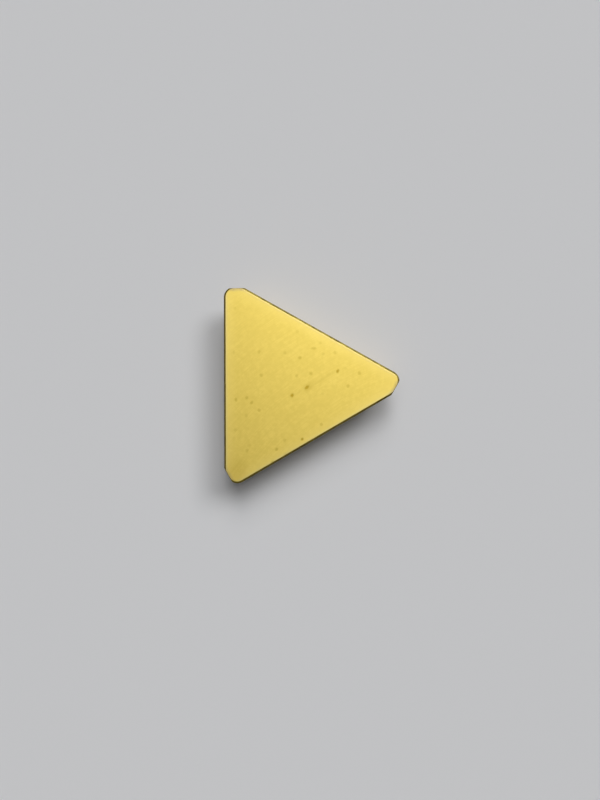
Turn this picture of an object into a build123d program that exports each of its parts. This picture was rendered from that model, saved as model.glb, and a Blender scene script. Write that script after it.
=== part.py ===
"""Triangular milling insert: one block of cemented carbide, pressed, sintered, ground and coated.

The rake face on top and the seat below are flat and parallel. Three main flanks lean in under
their cutting edges. Each corner has a short wiper, square to the main edge whose cut it finishes,
and a rounded nose between the two. A narrow land dulls the main edges and the noses. The wipers
are ground last, so only a trace of the land is left on them.

Millimetres. The origin is the centre of the inscribed circle on the seat, +Z points to the rake
face, one main flank faces -X and the corner across from it points along +X.
"""

import os
from math import cos, radians, sin, sqrt, tan

from build123d import *

# Block
inscribed_diameter = 12.7  # circle that touches the three main edges
thickness = 4.76  # seat to rake face
main_clearance = 11.0  # degrees that a main flank leans in under its edge

# Corners
wiper_setback = 1.25  # from where two main edges would meet back to the wiper
wiper_relief = 4.0  # degrees that a wiper leans in beyond a main flank
nose_radius = 1.1  # between a main flank and its wiper

# Land: the bevel that dulls an edge
land_width = 0.2  # across the rake face
land_angle = 20.0  # degrees that it falls below the rake face
wiper_hone = 0.05  # width of land that stays on a wiper

side_count = 3
edge_reach = inscribed_diameter / 2
wiper_reach = edge_reach * sqrt(3) - wiper_setback
wiper_clearance = main_clearance + wiper_relief
wiper_stock = land_width - wiper_hone
headings = [(side + 0.5) * 360 / side_count for side in range(side_count)]

# A wiper is narrowest at the seat, and the nose has to end on it there
seat_setback = (
    wiper_setback
    - wiper_stock
    - thickness * (sqrt(3) * tan(radians(main_clearance)) - tan(radians(wiper_clearance)))
)
largest_nose_radius = 0.9 * seat_setback * sqrt(3)


def flank(heading, reach, clearance):
    """Plane of a flank: level with the rake face it stands at reach from the axis, facing heading."""
    outward = Vector(1, 0, 0).rotate(Axis.Z, heading)
    normal = outward * cos(radians(clearance)) - Vector(0, 0, 1) * sin(radians(clearance))
    return Plane(origin=outward * reach + Vector(0, 0, thickness), z_dir=normal)


with BuildPart() as insert_body:
    # Pressed blank
    with BuildSketch():
        RegularPolygon(edge_reach, side_count, major_radius=False)
    extrude(amount=thickness)

    # Main flanks ground to size, wipers ground with stock left on them
    for heading in headings:
        split(bisect_by=flank(heading, edge_reach, main_clearance), keep=Keep.BOTTOM)
        rough_wiper = flank(heading - 90, wiper_reach + wiper_stock, wiper_clearance)
        split(bisect_by=rough_wiper, keep=Keep.BOTTOM)

    # Noses: the upright edges that stand farthest out
    upright_edges = insert_body.edges().filter_by(Plane.XY, reverse=True)
    nose_edges = upright_edges.sort_by_distance((0, 0, 0))[-side_count:]
    fillet(nose_edges, min(nose_radius, largest_nose_radius))

    # Land round the whole rake face
    rake_face = insert_body.faces().sort_by(Axis.Z)[-1]
    chamfer(rake_face.edges(), land_width, angle=land_angle, reference=rake_face)

    # Wipers ground to size, through most of their land
    for heading in headings:
        finished_wiper = flank(heading - 90, wiper_reach, wiper_clearance)
        split(bisect_by=finished_wiper, keep=Keep.BOTTOM)

insert_body.part.label = "insert_body"

os.makedirs("parts", exist_ok=True)
export_step(insert_body.part, "parts/insert_body.step")
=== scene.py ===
from math import cos, pi, radians, sin, sqrt

import bpy
from mathutils import Matrix, Vector


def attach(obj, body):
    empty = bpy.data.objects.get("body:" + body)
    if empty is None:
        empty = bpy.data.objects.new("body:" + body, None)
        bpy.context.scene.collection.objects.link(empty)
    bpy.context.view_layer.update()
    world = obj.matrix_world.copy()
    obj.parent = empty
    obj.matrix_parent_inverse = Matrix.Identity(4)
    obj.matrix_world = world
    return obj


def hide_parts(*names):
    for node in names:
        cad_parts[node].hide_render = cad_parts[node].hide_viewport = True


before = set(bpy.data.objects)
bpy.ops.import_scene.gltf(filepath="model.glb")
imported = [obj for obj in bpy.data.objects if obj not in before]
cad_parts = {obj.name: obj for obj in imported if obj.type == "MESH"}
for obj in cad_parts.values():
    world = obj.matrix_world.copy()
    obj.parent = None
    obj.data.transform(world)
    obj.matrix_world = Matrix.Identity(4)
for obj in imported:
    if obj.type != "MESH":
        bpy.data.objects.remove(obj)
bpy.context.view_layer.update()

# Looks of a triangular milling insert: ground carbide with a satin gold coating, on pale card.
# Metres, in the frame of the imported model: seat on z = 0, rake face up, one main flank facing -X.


# ---------------------------------------------------------------------------------------------
# Insert
# One block of cemented carbide, pressed and sintered, then ground: the two faces, three main
# flanks and three rounded noses, the land that dulls the edges, and last the three short wipers.
# Two or three thousandths of a millimetre of gold titanium nitride are grown on it in a vacuum.
# ---------------------------------------------------------------------------------------------

mm = 0.001
insert_sizes = {
    "Inscribed Diameter": 12.7 * mm,
    "Thickness": 4.76 * mm,
    "Main Clearance": radians(11.0),
    "Wiper Clearance": radians(15.0),
    "Wiper Setback": 1.25 * mm,
    "Wiper Stock": 0.15 * mm,
    "Nose Radius": 1.065 * mm,
    "Land Width": 0.2 * mm,
    "Land Angle": radians(20.0),
}
half_across = insert_sizes["Inscribed Diameter"] / 2
corner_to_middle = half_across * sqrt(3)
wiper_to_middle = corner_to_middle - insert_sizes["Wiper Setback"]
main_headings = (60, 180, 300)
wiper_headings = (90, 210, 330)

gold = (0.865, 0.668, 0.152)
deep_gold = (0.795, 0.602, 0.122)
rim_gold = (0.905, 0.712, 0.190)
# colour of the painted highlight in a narrow band just inside the main edges
highlight_gold = (0.79, 0.66, 0.275)
worn_gold = (0.500, 0.400, 0.185)
# brown of pits and stains, also used for the painted shade at the lower nose
stain_and_shade_brown = (0.54, 0.365, 0.033)
flank_gold = (0.455, 0.318, 0.078)
flank_deep_gold = (0.390, 0.270, 0.064)
# bronze tones of the land: darker from honing, and partly painted shade
bronze = (0.205, 0.158, 0.026)
dark_bronze = (0.120, 0.092, 0.016)


def add(tree, kind, inputs=None, **settings):
    """Adds a node, sets what is given, and links the inputs that are other nodes' sockets."""
    node = tree.nodes.new(kind)
    for name, value in settings.items():
        setattr(node, name, value)
    for socket, value in (inputs or {}).items():
        if isinstance(value, bpy.types.NodeSocket):
            tree.links.new(value, node.inputs[socket])
        else:
            node.inputs[socket].default_value = value
    return node


def calc(tree, operation, first, second=0.0, third=0.0):
    """One step of arithmetic on numbers or sockets."""
    return add(tree, "ShaderNodeMath", {0: first, 1: second, 2: third}, operation=operation).outputs[0]


def vector(tree, operation, first, second=(0, 0, 0), result=0):
    """One step of arithmetic on vectors."""
    return add(tree, "ShaderNodeVectorMath", {0: first, 1: second}, operation=operation).outputs[result]


def mixed(tree, share, first, second):
    """A colour between two others, each a socket or a written colour."""
    first, second = [c if isinstance(c, bpy.types.NodeSocket) else (*c, 1) for c in (first, second)]
    return add(tree, "ShaderNodeMix", {0: share, 6: first, 7: second}, data_type="RGBA").outputs[2]


def ramp(tree, value, start, end, low=0.0, high=1.0):
    """Runs smoothly from low at start to high at end."""
    inputs = {"Value": value, "From Min": start, "From Max": end, "To Min": low, "To Max": high}
    return add(tree, "ShaderNodeMapRange", inputs, interpolation_type="SMOOTHSTEP").outputs[0]


def grain(tree, place, per_metre, detail=2.0, stretch=(1, 1, 1)):
    """Cloudy noise from 0 to 1, finer along the axes that stretch makes larger."""
    scaled = vector(tree, "MULTIPLY", place, stretch)
    inputs = {"Vector": scaled, "Scale": per_metre, "Detail": detail}
    return add(tree, "ShaderNodeTexNoise", inputs).outputs[0]


def grinding_arcs(tree, place, centre, spacing, length):
    """Lines of a cup wheel on arcs round centre, spacing apart and about length long."""
    x, y, z = add(tree, "ShaderNodeSeparateXYZ", {0: vector(tree, "SUBTRACT", place, centre)}).outputs
    flat = add(tree, "ShaderNodeCombineXYZ", {0: x, 1: y}).outputs[0]
    across = calc(tree, "DIVIDE", vector(tree, "LENGTH", flat, result=1), spacing)
    around = calc(tree, "MULTIPLY", calc(tree, "ARCTAN2", y, x), Vector(centre).length / length)
    rolled = add(tree, "ShaderNodeCombineXYZ", {0: across, 1: around}).outputs[0]
    return add(tree, "ShaderNodeTexNoise", {"Vector": rolled, "Scale": 1.0, "Detail": 3.0}).outputs[0]


def distance_in(tree, place, headings, reach):
    """How far a point lies inside the nearest of three edges, which face headings at reach."""
    furthest = -1.0
    for heading in headings:
        outward = (cos(radians(heading)), sin(radians(heading)), 0)
        furthest = calc(tree, "MAXIMUM", vector(tree, "DOT_PRODUCT", place, outward, 1), furthest)
    return calc(tree, "SUBTRACT", reach, furthest)


def coating(name):
    """An empty material, with its tree and the place of each point on the insert."""
    material = bpy.data.materials.new(name)
    material.use_nodes = True
    material.node_tree.nodes.clear()
    place = add(material.node_tree, "ShaderNodeTexCoord").outputs["Object"]
    return material, material.node_tree, place


def finish_metal(tree, tone, satin, height, strength, distance):
    """Ends a coating's tree: a metal with its colour, roughness and fine relief."""
    relief = add(tree, "ShaderNodeBump", {"Height": height, "Strength": strength, "Distance": distance})
    looks = {"Base Color": tone, "Metallic": 1.0, "Roughness": satin, "Normal": relief.outputs[0]}
    shader = add(tree, "ShaderNodeBsdfPrincipled", looks)
    add(tree, "ShaderNodeOutputMaterial", {0: shader.outputs[0]})


# One soft-edged mark, longer than it is wide: a pit, a stain, and in one place a patch of painted shade.
# Measured in its half sizes, it is whole within the core and gone beyond the rim.
mark_core = 0.35
mark_rim = 1.6

stain_and_shade_mark = bpy.data.node_groups.new("stain_and_shade_mark", "ShaderNodeTree")
for name in ("Place", "Centre", "Half Size"):
    stain_and_shade_mark.interface.new_socket(name, in_out="INPUT", socket_type="NodeSocketVector")
for name in ("Heading", "Depth"):
    stain_and_shade_mark.interface.new_socket(name, in_out="INPUT", socket_type="NodeSocketFloat")
stain_and_shade_mark.interface.new_socket("Mark", in_out="OUTPUT", socket_type="NodeSocketFloat")
given = stain_and_shade_mark.nodes.new("NodeGroupInput").outputs
arm = vector(stain_and_shade_mark, "SUBTRACT", given["Place"], given["Centre"])
back = calc(stain_and_shade_mark, "MULTIPLY", given["Heading"], -1.0)
arm = add(stain_and_shade_mark, "ShaderNodeVectorRotate", {0: arm, "Angle": back}, rotation_type="Z_AXIS")
arm = vector(stain_and_shade_mark, "DIVIDE", arm.outputs[0], given["Half Size"])
inside = ramp(stain_and_shade_mark, vector(stain_and_shade_mark, "LENGTH", arm, result=1), mark_rim, mark_core)
add(stain_and_shade_mark, "NodeGroupOutput", {0: calc(stain_and_shade_mark, "MULTIPLY", inside, given["Depth"])})

# Rake face and seat: ground flat in wide faint arcs, a little mottled. The coating is paler along the
# main edges, with a painted highlight in a narrow band just inside them. It is worn thin along the
# wipers and marked where the rake face has been handled, and a dull patch of painted shade darkens the
# lower nose.
# Scales of clouds and grit are counts in a metre.
wide_wheel = (21 * mm, -28 * mm, 0)
wide_arc_spacing = 0.08 * mm
wide_arc_length = 4.5 * mm
crossing_wheel = (-0.8 * mm, 1.5 * mm, 0)
crossing_arc_spacing = 0.16 * mm
crossing_arc_length = 0.6 * mm
crossing_share = 0.28
mottle_scale = 2400.0
face_cloud_scale = 420.0
face_tooth_scale = 26000.0
rim_breadth = 1.6 * mm
rim_full_within = 0.3 * mm
highlight_breadth = 0.5 * mm
highlight_full_within = 0.25 * mm
wear_breadth = 0.42 * mm
wear_wander = 0.25 * mm
rag_scale = 7000.0
rag_reach = 0.12 * mm
speck_cell = 1.25 * mm
speck_core = 0.05
speck_rim = 0.20
face_relief = 0.012 * mm
marks = [
    # x, y, half length and half width in millimetres, heading in degrees, depth
    (2.1, -0.4, 0.28, 0.16, 40, 0.95),  # pit near the middle
    (2.2, -0.4, 0.55, 0.32, 35, 0.26),  # stain round it
    (3.0, 0.1, 2.60, 0.18, 30, 0.14),  # long rub that runs through it
    (5.2, 1.2, 0.19, 0.13, 60, 0.92),
    (0.6, -1.2, 0.19, 0.15, 60, 1.00),
    (1.4, 2.6, 0.18, 0.15, 20, 0.50),
    (2.8, 3.5, 0.24, 0.13, 5, 0.40),
    (1.6, -5.6, 0.15, 0.12, 30, 1.00),
    (-1.0, -6.6, 0.16, 0.13, 70, 0.52),
    (-3.5, -1.9, 0.18, 0.13, 60, 0.54),
    (-5.1, -1.6, 0.18, 0.13, 100, 0.54),
    (-5.1, -8.9, 1.30, 0.90, 60, 0.20),  # painted shade: a darker, duller patch at the lower nose
]

ground_face, tree, place = coating("coated_ground_face")
waver = add(tree, "ShaderNodeTexNoise", {"Vector": place, "Scale": rag_scale, "Detail": 1.0})
waver = vector(tree, "SUBTRACT", waver.outputs["Color"], (0.5, 0.5, 0.5))
waver = vector(tree, "MULTIPLY", waver, (rag_reach, rag_reach, 0))
ragged = vector(tree, "ADD", place, waver)
marks_and_shade = 0.0
for x, y, half_length, half_width, heading, depth in marks:
    mark = add(tree, "ShaderNodeGroup", node_tree=stain_and_shade_mark)
    tree.links.new(ragged, mark.inputs["Place"])
    mark.inputs["Centre"].default_value = (x * mm, y * mm, insert_sizes["Thickness"])
    mark.inputs["Half Size"].default_value = (half_length * mm, half_width * mm, 1.0 * mm)
    mark.inputs["Heading"].default_value = radians(heading)
    mark.inputs["Depth"].default_value = depth
    marks_and_shade = calc(tree, "MAXIMUM", mark.outputs[0], marks_and_shade)

# Smaller specks lie scattered over the face, one in some of the cells of a loose pattern. Their
# core and rim are shares of a cell.
cells = {"Vector": ragged, "Scale": 1 / speck_cell}
cells = add(tree, "ShaderNodeTexVoronoi", cells, voronoi_dimensions="2D").outputs
chance, weight = add(tree, "ShaderNodeSeparateXYZ", {0: cells["Color"]}).outputs[:2]
speck = calc(tree, "MULTIPLY", ramp(tree, chance, 0.70, 0.80), ramp(tree, weight, 0.0, 1.0, 0.15, 0.45))
speck = calc(tree, "MULTIPLY", speck, ramp(tree, cells["Distance"], speck_rim, speck_core))
marks_and_shade = calc(tree, "MAXIMUM", speck, marks_and_shade)

mottle = grain(tree, place, mottle_scale, 3.0)
cloud = grain(tree, place, face_cloud_scale)
wide_arcs = grinding_arcs(tree, place, wide_wheel, wide_arc_spacing, wide_arc_length)
crossing_arcs = grinding_arcs(tree, place, crossing_wheel, crossing_arc_spacing, crossing_arc_length)
arcs = calc(tree, "MULTIPLY", crossing_arcs, crossing_share)
arcs = calc(tree, "MULTIPLY_ADD", wide_arcs, 1 - crossing_share, arcs)
to_main_edge = distance_in(tree, place, main_headings, half_across)
to_wiper = distance_in(tree, place, wiper_headings, wiper_to_middle)
to_wiper = calc(tree, "MULTIPLY_ADD", calc(tree, "SUBTRACT", mottle, 0.5), wear_wander, to_wiper)

tone = mixed(tree, ramp(tree, mottle, 0.30, 0.70, high=0.8), gold, deep_gold)
tone = mixed(tree, ramp(tree, arcs, 0.42, 0.62, high=0.65), tone, deep_gold)
tone = mixed(tree, ramp(tree, cloud, 0.40, 0.70, high=0.3), tone, deep_gold)
tone = mixed(tree, ramp(tree, to_main_edge, rim_breadth, rim_full_within, high=0.42), tone, rim_gold)
# Painted highlight: a pale band just inside the main edges
tone = mixed(tree, ramp(tree, to_main_edge, highlight_breadth, highlight_full_within, high=0.45), tone, highlight_gold)
tone = mixed(tree, ramp(tree, to_wiper, wear_breadth, 0.0, high=0.85), tone, worn_gold)
# Pits, stains and specks in brown, and the painted shade patch at the lower nose
tone = mixed(tree, marks_and_shade, tone, stain_and_shade_brown)
satin = calc(tree, "MULTIPLY_ADD", marks_and_shade, 0.12, ramp(tree, arcs, 0.35, 0.65, 0.355, 0.405))
height = calc(tree, "MULTIPLY_ADD", grain(tree, place, face_tooth_scale), 0.35, arcs)
height = calc(tree, "MULTIPLY_ADD", marks_and_shade, -0.5, height)
finish_metal(tree, tone, satin, height, 0.22, face_relief)

# Flanks and wipers: ground along their edges, so the lines run level. The coating is worn near
# the land.
flank_lines = (200, 200, 52000)
flank_bands = (180, 180, 5200)
flank_cloud_scale = 600.0
flank_wear_starts = 4.4 * mm
flank_wear_full = 4.9 * mm
flank_wear_wander = 0.35 * mm
flank_relief = 0.010 * mm

ground_flank, tree, place = coating("coated_ground_flank")
lines = grain(tree, place, 1.0, 4.0, flank_lines)
bands = grain(tree, place, 1.0, 2.0, flank_bands)
cloud = grain(tree, place, flank_cloud_scale, 3.0)
up = add(tree, "ShaderNodeSeparateXYZ", {0: place}).outputs[2]
up = calc(tree, "MULTIPLY_ADD", cloud, flank_wear_wander, up)
tone = mixed(tree, ramp(tree, lines, 0.35, 0.68), flank_gold, flank_deep_gold)
tone = mixed(tree, ramp(tree, bands, 0.40, 0.72, high=0.3), tone, flank_deep_gold)
tone = mixed(tree, ramp(tree, cloud, 0.48, 0.75, high=0.35), tone, flank_deep_gold)
tone = mixed(tree, ramp(tree, up, flank_wear_starts, flank_wear_full, high=0.55), tone, worn_gold)
satin = ramp(tree, lines, 0.3, 0.7, 0.32, 0.44)
height = calc(tree, "MULTIPLY_ADD", bands, 0.6, lines)
finish_metal(tree, tone, satin, height, 0.28, flank_relief)

# Land: honed after grinding, so the coating on it is duller and darker; part of that darkness is painted
# shade, for the dim room that the outward-tilted land mirrors
land_patch_scale = 1500.0
land_tooth_scale = 22000.0
land_relief = 0.008 * mm

honed_and_shaded_land, tree, place = coating("coated_land")
patches = grain(tree, place, land_patch_scale, 3.0)
tooth = grain(tree, place, land_tooth_scale)
tone = mixed(tree, ramp(tree, patches, 0.35, 0.70), bronze, dark_bronze)
tone = mixed(tree, ramp(tree, tooth, 0.55, 0.75, high=0.25), tone, worn_gold)
satin = ramp(tree, patches, 0.3, 0.7, 0.50, 0.62)
finish_metal(tree, tone, satin, tooth, 0.2, land_relief)

# The shape is a tree of nodes. One corner is a strip of wall from the middle of a main flank,
# round the nose, to the middle of the next flank. Its rows are the middle of the seat, the edge
# of the seat, the foot of the land, the edge of the rake face and the middle of the rake face.
nose_steps = 24
edge_break = 0.02 * mm
edge_break_segments = 3
softest_edge = radians(14.0)
same_point = 0.001 * mm
strip_columns = nose_steps + 4
strip_rows = 5
flank_zone = 1
land_zone = 2

block = bpy.data.node_groups.new("ground_insert", "GeometryNodeTree")
for name in insert_sizes:
    block.interface.new_socket(name, in_out="INPUT", socket_type="NodeSocketFloat")
for name in ("Face Finish", "Flank Finish", "Land Finish"):
    block.interface.new_socket(name, in_out="INPUT", socket_type="NodeSocketMaterial")
block.interface.new_socket("Insert", in_out="OUTPUT", socket_type="NodeSocketGeometry")
given = block.nodes.new("NodeGroupInput").outputs


def step(operation, first, second=0.0, third=0.0):
    """One step of arithmetic in the insert's own tree."""
    return calc(block, operation, first, second, third)


def combined(x=0.0, y=0.0, z=0.0):
    """A vector in the insert's own tree."""
    return add(block, "ShaderNodeCombineXYZ", {0: x, 1: y, 2: z}).outputs[0]


def chosen_by(number, values):
    """Picks one of the values by a whole number from 0."""
    switch = add(block, "GeometryNodeIndexSwitch", {0: number}, data_type="FLOAT")
    while len(switch.index_switch_items) < len(values):
        switch.index_switch_items.new()
    for socket, value in zip(switch.inputs[1:], values):
        if isinstance(value, bpy.types.NodeSocket):
            block.links.new(value, socket)
        else:
            socket.default_value = value
    return switch.outputs[0]


strip = add(block, "GeometryNodeMeshGrid", {
    "Size X": strip_columns - 1.0,
    "Size Y": strip_rows - 1.0,
    "Vertices X": strip_columns,
    "Vertices Y": strip_rows,
})
spot = add(block, "ShaderNodeSeparateXYZ", {0: add(block, "GeometryNodeInputPosition").outputs[0]})
column = step("ROUND", step("ADD", spot.outputs[0], (strip_columns - 1) / 2))
level = step("ADD", spot.outputs[1], (strip_rows - 1) / 2)
row = step("ROUND", level)
zoned = add(block, "GeometryNodeStoreNamedAttribute", {
    "Geometry": strip.outputs[0],
    "Name": "zone",
    "Value": step("FLOOR", level),
}, data_type="INT", domain="FACE")

# How deep each row lies under the rake face, and how far out it stands
main_slope = step("TANGENT", given["Main Clearance"])
wiper_slope = step("TANGENT", given["Wiper Clearance"])
land_slope = step("DIVIDE", 1.0, step("TANGENT", given["Land Angle"]))
land_fall = step("DIVIDE", given["Land Width"], step("ADD", land_slope, main_slope))
depth = chosen_by(row, [given["Thickness"], given["Thickness"], land_fall, 0.0, 0.0])
inset = chosen_by(row, [0.0, 0.0, 0.0, given["Land Width"], given["Land Width"]])
spread = chosen_by(row, [0.0, 1.0, 1.0, 1.0, 0.0])
edge_reach = step("MULTIPLY", given["Inscribed Diameter"], 0.5)
corner_reach = step("MULTIPLY", edge_reach, sqrt(3))
wiper_reach = step("SUBTRACT", corner_reach, given["Wiper Setback"])
rough_reach = step("ADD", wiper_reach, given["Wiper Stock"])
main_out = step("SUBTRACT", edge_reach, step("MULTIPLY", depth, main_slope))
main_out = step("SUBTRACT", main_out, inset)
wiper_out = step("SUBTRACT", rough_reach, step("MULTIPLY", depth, wiper_slope))
wiper_out = step("SUBTRACT", wiper_out, inset)

# Along the strip: up the main flank, round the nose, across the wiper and down the next flank
nose = step("SUBTRACT", given["Nose Radius"], inset)
turned = step("DIVIDE", step("SUBTRACT", column, 1.0), float(nose_steps))
turned = step("MINIMUM", step("MAXIMUM", turned, 0.0), 1.0)
bearing = step("SUBTRACT", pi, step("MULTIPLY", turned, pi / 2))
main_in = step("MULTIPLY", main_out, -1.0)
nose_x = step("MULTIPLY_ADD", nose, step("ADD", step("COSINE", bearing), 1.0), main_in)
nose_y = step("MULTIPLY_ADD", nose, step("SUBTRACT", step("SINE", bearing), 1.0), wiper_out)
wiper_end = step("SUBTRACT", step("MULTIPLY", main_out, 2.0), step("MULTIPLY", wiper_out, sqrt(3)))
next_x = step("MULTIPLY", main_out, 0.5)
next_y = step("MULTIPLY", main_out, sqrt(3) / 2)
stretch = step("GREATER_THAN", column, 0.5)
stretch = step("ADD", stretch, step("GREATER_THAN", column, nose_steps + 1.5))
stretch = step("ADD", stretch, step("GREATER_THAN", column, nose_steps + 2.5))
wall_x = step("MULTIPLY", chosen_by(stretch, [main_in, nose_x, wiper_end, next_x]), spread)
wall_y = step("MULTIPLY", chosen_by(stretch, [0.0, nose_y, wiper_out, next_y]), spread)
wall = combined(wall_x, wall_y, step("SUBTRACT", given["Thickness"], depth))
corner = add(block, "GeometryNodeSetPosition", {0: zoned.outputs[0], "Position": wall})

# Three corners make the block
thirds = add(block, "GeometryNodePoints", {"Count": 3})
third_turn = combined(z=step("MULTIPLY", add(block, "GeometryNodeInputIndex").outputs[0], 2 * pi / 3))


def three_times(shape):
    """Sets a shape at every third of a turn round the middle."""
    placed = {"Points": thirds.outputs[0], "Instance": shape.outputs[0], "Rotation": third_turn}
    copies = add(block, "GeometryNodeInstanceOnPoints", placed)
    return add(block, "GeometryNodeRealizeInstances", {0: copies.outputs[0]})


closed = add(block, "GeometryNodeMergeByDistance", {
    0: three_times(corner).outputs[0],
    "Distance": same_point,
})

# The wipers are ground last, so they cut through the land. Each wheel is a plain block that
# stands on its wiper and leans by its clearance.
wheel_width = given["Inscribed Diameter"]
wheel = add(block, "GeometryNodeMeshCube", {"Size": combined(wheel_width, wheel_width, wheel_width)})
wheel = add(block, "GeometryNodeStoreNamedAttribute", {
    "Geometry": wheel.outputs[0],
    "Name": "zone",
    "Value": flank_zone,
}, data_type="INT", domain="FACE")
wheel = add(block, "GeometryNodeTransform", {0: wheel.outputs[0], "Translation": combined(y=edge_reach)})
wheel = add(block, "GeometryNodeTransform", {
    0: wheel.outputs[0],
    "Translation": combined(y=wiper_reach, z=given["Thickness"]),
    "Rotation": combined(x=step("MULTIPLY", given["Wiper Clearance"], -1.0)),
})
ground = add(block, "GeometryNodeMeshBoolean", operation="DIFFERENCE", solver="EXACT")
block.links.new(closed.outputs[0], ground.inputs[0])
block.links.new(three_times(wheel).outputs[0], ground.inputs[1])

# Each face takes the finish of its zone
zone = add(block, "GeometryNodeInputNamedAttribute", {"Name": "zone"}, data_type="INT").outputs[0]
finished = add(block, "GeometryNodeRealizeInstances", {0: ground.outputs[0]})
finished = add(block, "GeometryNodeSetMaterial", {
    0: finished.outputs[0],
    "Material": given["Face Finish"],
})
for number, finish in ((flank_zone, "Flank Finish"), (land_zone, "Land Finish")):
    finished = add(block, "GeometryNodeSetMaterial", {
        0: finished.outputs[0],
        "Selection": step("COMPARE", zone, number, 0.5),
        "Material": given[finish],
    })
add(block, "NodeGroupOutput", {0: finished.outputs[0]})

insert_body = bpy.data.objects.new("milling_insert", bpy.data.meshes.new("milling_insert"))
bpy.context.scene.collection.objects.link(insert_body)
shaping = insert_body.modifiers.new("shape", "NODES")
shaping.node_group = block
finishes = {"Face Finish": ground_face, "Flank Finish": ground_flank, "Land Finish": honed_and_shaded_land}
chosen = {**insert_sizes, **finishes}
for socket in block.interface.items_tree:
    if socket.name in chosen:
        shaping[socket.identifier] = chosen[socket.name]
breaking = insert_body.modifiers.new("broken_edges", "BEVEL")
breaking.width = edge_break
breaking.segments = edge_break_segments
breaking.limit_method = "ANGLE"
breaking.angle_limit = softest_edge
breaking.use_clamp_overlap = False
breaking.harden_normals = True
evaluated = insert_body.evaluated_get(bpy.context.evaluated_depsgraph_get())
made = bpy.data.meshes.new_from_object(evaluated)
insert_body.modifiers.clear()
insert_body.data = made
made.name = "milling_insert"

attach(insert_body, "root")
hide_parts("insert_body")


# ---------------------------------------------------------------------------------------------
# Table
# A plain sheet of pale grey card, laid flat.
# ---------------------------------------------------------------------------------------------

card_grey = (0.82, 0.825, 0.84)
card_half = 2.0
card_roughness = 0.9

grey_card = bpy.data.materials.new("grey_card")
grey_card.use_nodes = True
grey_card.node_tree.nodes.clear()
looks = {"Base Color": (*card_grey, 1), "Roughness": card_roughness}
shader = add(grey_card.node_tree, "ShaderNodeBsdfPrincipled", looks)
add(grey_card.node_tree, "ShaderNodeOutputMaterial", {0: shader.outputs[0]})
card = bpy.data.objects.new("card", bpy.data.meshes.new("card"))
corners = [(-1, -1), (1, -1), (1, 1), (-1, 1)]
card.data.from_pydata([(x * card_half, y * card_half, 0) for x, y in corners], [], [(0, 1, 2, 3)])
card.data.materials.append(grey_card)
bpy.context.scene.collection.objects.link(card)


# ---------------------------------------------------------------------------------------------
# Light
# Soft panels: three lean in from +X and +Y and give most of the light, and a weak one hangs
# nearly overhead. The room has pale walls and a dark ceiling.
# ---------------------------------------------------------------------------------------------

panels = {
    # name: (tilt from straight up, heading, breadth, strength)
    "side_panel": (radians(42), radians(40), radians(25), 1.03),
    "back_panel": (radians(42), radians(80), radians(25), 0.52),
    "high_panel": (radians(28), radians(80), radians(25), 0.66),
    "overhead_panel": (radians(5), radians(115), radians(34), 0.25),
}
for name, (tilt, heading, breadth, strength) in panels.items():
    lamp = bpy.data.objects.new(name, bpy.data.lights.new(name, "SUN"))
    lamp.data.angle = breadth
    lamp.data.energy = strength
    lamp.location = Vector((sin(tilt) * cos(heading), sin(tilt) * sin(heading), cos(tilt)))
    lamp.rotation_euler = lamp.location.to_track_quat("Z", "Y").to_euler()
    bpy.context.scene.collection.objects.link(lamp)

horizon_grey = (0.555, 0.56, 0.57)
wall_grey = (0.86, 0.865, 0.875)
ceiling_grey = (0.04, 0.04, 0.042)
fill_grey = (0.012, 0.012, 0.0123)
wall_starts = 0.0
wall_full = 0.22
ceiling_starts = 0.36
ceiling_full = 0.68

room = bpy.data.worlds.new("room")
room.use_nodes = True
tree = room.node_tree
tree.nodes.clear()
place = add(tree, "ShaderNodeTexCoord").outputs["Generated"]
up = add(tree, "ShaderNodeSeparateXYZ", {0: place}).outputs[2]
shade = mixed(tree, ramp(tree, up, wall_starts, wall_full), horizon_grey, wall_grey)
shade = mixed(tree, ramp(tree, up, ceiling_starts, ceiling_full), shade, ceiling_grey)

# The room is seen and mirrored, but the lamps do the lighting, so other rays meet the dim fill
path = add(tree, "ShaderNodeLightPath").outputs
seen = calc(tree, "ADD", path["Is Camera Ray"], path["Is Glossy Ray"])
seen = calc(tree, "MINIMUM", calc(tree, "ADD", seen, path["Is Transmission Ray"]), 1.0)
seen = calc(tree, "MULTIPLY", seen, calc(tree, "LESS_THAN", path["Diffuse Depth"], 0.5))
fill = add(tree, "ShaderNodeBackground", {"Color": (*fill_grey, 1), "Strength": 1.0})
around = add(tree, "ShaderNodeBackground", {"Color": shade, "Strength": 1.0})
sky = add(tree, "ShaderNodeMixShader", {0: seen, 1: fill.outputs[0], 2: around.outputs[0]})
add(tree, "ShaderNodeOutputWorld", {0: sky.outputs[0]})
bpy.context.scene.world = room


# ---------------------------------------------------------------------------------------------
# Camera
# Nearly straight down, 75 mm above the rake face.
# ---------------------------------------------------------------------------------------------

camera_height = 75.09 * mm
camera_place = (7.29 * mm, -3.51 * mm, insert_sizes["Thickness"] + camera_height)
camera_roll = radians(0.27)
camera_nod = radians(-1.4)
camera_lean = radians(-4.49)

camera = bpy.data.objects.new("camera", bpy.data.cameras.new("camera"))
camera.data.lens = 33.75
camera.data.sensor_width = 36.0
camera.data.clip_start = 0.002
camera.data.clip_end = 20.0
roll = Matrix.Rotation(camera_roll, 3, "Z")
nod = Matrix.Rotation(camera_nod, 3, "X")
lean = Matrix.Rotation(camera_lean, 3, "Y")
turned_about = (roll @ nod @ lean).transposed().to_4x4()
camera.matrix_world = Matrix.Translation(camera_place) @ turned_about
bpy.context.scene.collection.objects.link(camera)
bpy.context.scene.camera = camera
bpy.context.scene.view_settings.view_transform = "Standard"
